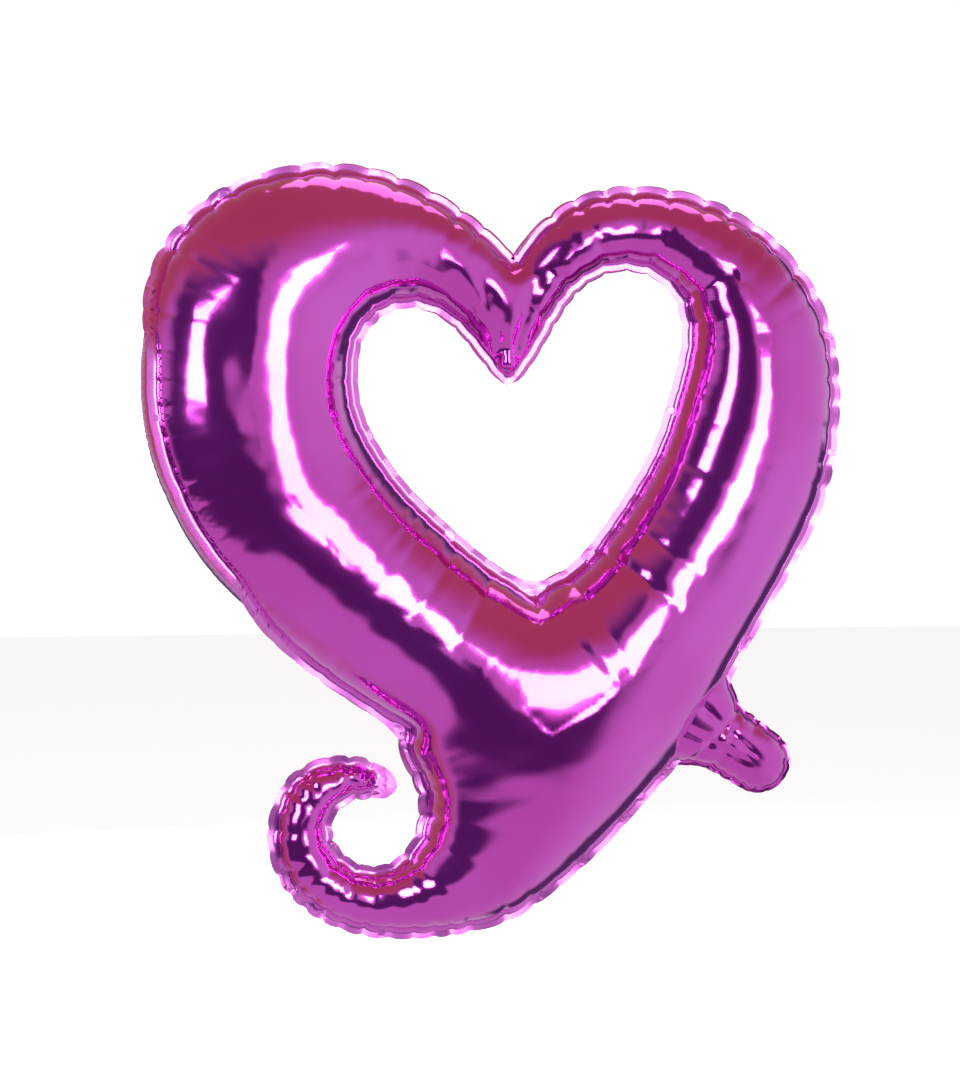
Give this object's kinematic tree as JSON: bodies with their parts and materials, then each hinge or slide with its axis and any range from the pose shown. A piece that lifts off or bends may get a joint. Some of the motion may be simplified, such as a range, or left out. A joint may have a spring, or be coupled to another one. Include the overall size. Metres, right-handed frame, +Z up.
{
  "type": "heart-shaped foil balloon",
  "caption": "Inflated foil party balloon: an open heart outline whose lower end curls into a hook, with a self-sealing filling neck.",
  "frame": {"origin": "centre of the balloon's bounding box, in the plane where the two films are welded", "axes": "+Z up through the cleft of the heart, +Y through the thickness towards the rear film, +X towards the filling neck's side; the front film faces -Y"},
  "size_m": [0.4122, 0.0952, 0.4479],
  "materials": {
    "magenta_foil": "mirror-bright metallised film, printed transparent magenta",
    "heat_weld": "glossy, embossed by the sealing bar",
    "valve_film": "clear, slightly milky polyethylene",
    "release_print": "matt heat-proof print"
  },
  "bodies": {
    "balloon": {"front_panel": "magenta_foil", "rear_panel": "magenta_foil", "outer_seam": "heat_weld", "opening_seam": "heat_weld", "valve_neck_front": "valve_film", "valve_neck_rear": "valve_film", "valve_neck_seals": "valve_film", "release_patch": "release_print"},
    "valve_front": {"valve_flap_front": "valve_film"},
    "valve_rear": {"valve_flap_rear": "valve_film", "valve_flap_seals": "valve_film"},
    "tail": {"tail_front_film": "magenta_foil", "tail_rear_film": "magenta_foil", "tail_side_seams": "heat_weld", "valve_mouth_front": "valve_film", "valve_mouth_rear": "valve_film", "valve_mouth_seals": "valve_film", "valve_anchor_welds": "heat_weld"}
  },
  "joints": [
    {"name": "tail_fold", "type": "hinge", "parent": "balloon", "child": "tail", "pos_m": [0.135, 0, -0.108], "axis": [0.5592, 0, 0.829], "range_deg": [-100, 100], "stiffness_Nm_per_rad": 0.002},
    {"name": "valve_front_open", "type": "hinge", "parent": "balloon", "child": "valve_front", "pos_m": [0.11904, 0, -0.09724], "axis": [0.5592, 0, 0.829], "range_deg": [0, 4], "stiffness_Nm_per_rad": 0.0001},
    {"name": "valve_rear_open", "type": "hinge", "parent": "balloon", "child": "valve_rear", "pos_m": [0.11904, 0, -0.09724], "axis": [0.5592, 0, 0.829], "range_deg": [-4, 0]}
  ],
  "couplings": [
    {"joint": "valve_rear_open", "follows": "valve_front_open", "ratio": -1}
  ]
}
